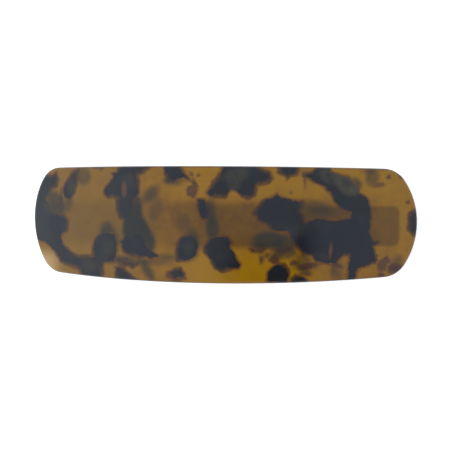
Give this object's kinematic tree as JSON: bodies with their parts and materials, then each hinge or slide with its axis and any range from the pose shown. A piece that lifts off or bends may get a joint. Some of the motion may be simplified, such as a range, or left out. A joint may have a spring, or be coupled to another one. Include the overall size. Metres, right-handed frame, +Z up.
{
  "type": "barrette",
  "caption": "Arched tortoiseshell acetate hair barrette on a sprung steel French clip with a hinged arm, a tension bow and a squeeze catch.",
  "frame": {"origin": "centre of the footprint, on the surface that the closed barrette rests on, with its face up", "axes": "+X along the plate from the hinge to the catch, +Y across the plate, +Z up, out of the face"},
  "size_m": [0.0968, 0.0286, 0.0194],
  "materials": {
    "acetate": "polished translucent tortoiseshell cellulose acetate, amber with near-black blotches",
    "cured_adhesive": "clear amber cured epoxy",
    "nickel_steel": "nickel-plated pressed steel",
    "spring_steel": "rolled spring steel, bright",
    "rivet_steel": "nickel-plated rivet"
  },
  "bodies": {
    "clip_frame": {"face_plate": "acetate", "adhesive_pads": "cured_adhesive", "base_bar": "nickel_steel", "hinge_pin": "rivet_steel", "catch_bracket": "spring_steel", "catch_rivet": "rivet_steel"},
    "arm": {"clasp_arm": "nickel_steel"},
    "bow": {"tension_bow": "spring_steel"},
    "tab_front": {"squeeze_tab_front": "spring_steel"},
    "tab_back": {"squeeze_tab_back": "spring_steel"}
  },
  "joints": [
    {"name": "arm_hinge", "type": "hinge", "parent": "clip_frame", "child": "arm", "pos_m": [-0.0395, 0, 0.0024], "axis": [0, 1, 0], "range_deg": [0, 100]},
    {"name": "bow_press", "type": "slide", "parent": "clip_frame", "child": "bow", "axis": [0, 0, 1], "range_m": [0, 0.0015], "stiffness_N_per_m": 400},
    {"name": "pinch_front", "type": "hinge", "parent": "clip_frame", "child": "tab_front", "pos_m": [0.0395, -0.00245, 0.0046], "axis": [1, 0, 0], "range_deg": [0, 17], "stiffness_Nm_per_rad": 0.02},
    {"name": "pinch_back", "type": "hinge", "parent": "clip_frame", "child": "tab_back", "pos_m": [0.0395, 0.00245, 0.0046], "axis": [-1, 0, 0], "range_deg": [0, 17], "stiffness_Nm_per_rad": 0.02}
  ],
  "couplings": [
    {"joint": "pinch_back", "follows": "pinch_front", "ratio": 1}
  ]
}
